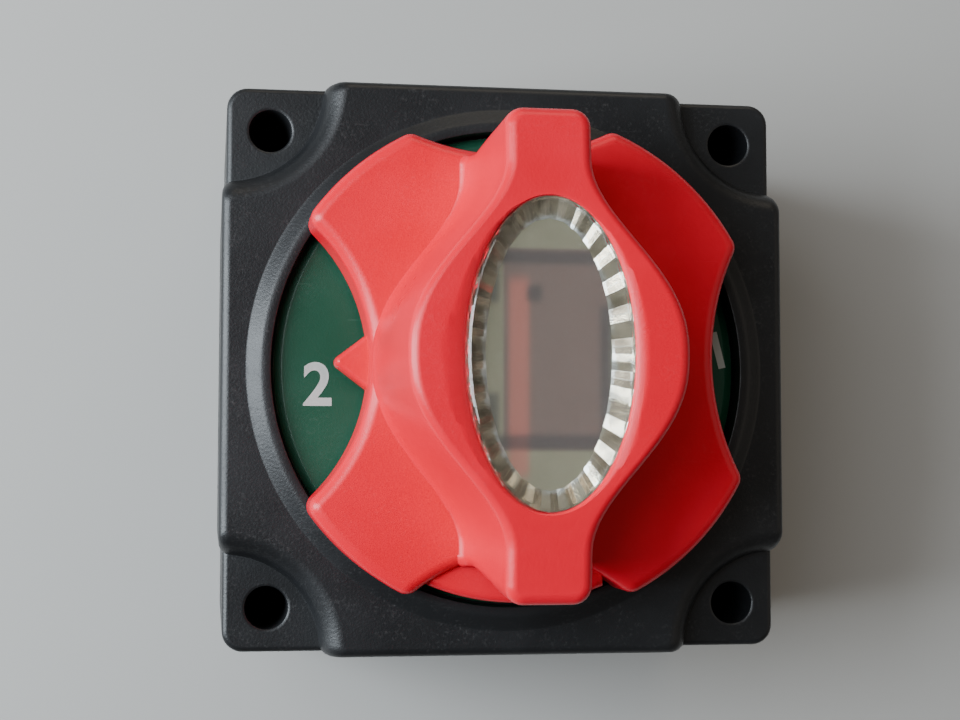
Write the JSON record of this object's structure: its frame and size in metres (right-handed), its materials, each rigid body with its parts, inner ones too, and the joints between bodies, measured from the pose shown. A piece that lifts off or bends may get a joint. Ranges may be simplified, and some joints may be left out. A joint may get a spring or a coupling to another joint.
{
  "type": "battery switch",
  "caption": "Square marine battery selector switch with a turning winged knob, dial, corner mounting holes, cable entries and enclosed terminal studs.",
  "frame": {"origin": "centre of the flat back face that sits on the panel, on the knob's axis", "axes": "+Z out of the panel along the knob's axis; the handle lies along Y at rest and the pointer is at -X"},
  "size_m": [0.069, 0.069, 0.0765],
  "materials": {
    "black_plastic": "satin moulded nylon",
    "red_plastic": "semi-gloss moulded",
    "dial_green": "satin printed plate",
    "clear_lens": "clear polished",
    "label_card": "printed card",
    "stud_copper": "tinned copper",
    "contact_copper": "bare copper",
    "stainless": "stainless",
    "seal_rubber": "nitrile rubber",
    "cam_nylon": "natural acetal"
  },
  "bodies": {
    "housing": {"front_housing": "black_plastic", "contact_base": "black_plastic", "rear_cover": "black_plastic", "side_cover_left": "black_plastic", "side_cover_right": "black_plastic", "cable_cover_top": "black_plastic", "cable_cover_bottom": "black_plastic", "dial_plate": "dial_green", "terminal_stud_1": "stud_copper", "terminal_stud_2": "stud_copper", "terminal_stud_common": "stud_copper", "common_contact": "contact_copper", "stud_seals": "seal_rubber", "flat_washers": "stainless", "spring_washers": "stainless", "stud_nuts": "stainless", "assembly_screws": "stainless", "body_seal": "seal_rubber", "detent_springs": "stainless", "thrust_washer": "stainless"},
    "rotor": {"drive_shaft": "stainless", "shaft_seal": "seal_rubber", "detent_cam": "cam_nylon", "contact_carrier": "black_plastic", "contact_bridge": "contact_copper", "contact_spring": "stainless", "knob": "red_plastic", "knob_washer": "stainless", "knob_screw": "stainless", "label_card": "label_card", "knob_lens": "clear_lens"}
  },
  "joints": [
    {"name": "knob_turn", "type": "hinge", "parent": "housing", "child": "rotor", "pos_m": [0, 0, 0.046], "axis": [0, 0, 1], "continuous": true, "deforming": ["detent_springs"]}
  ]
}
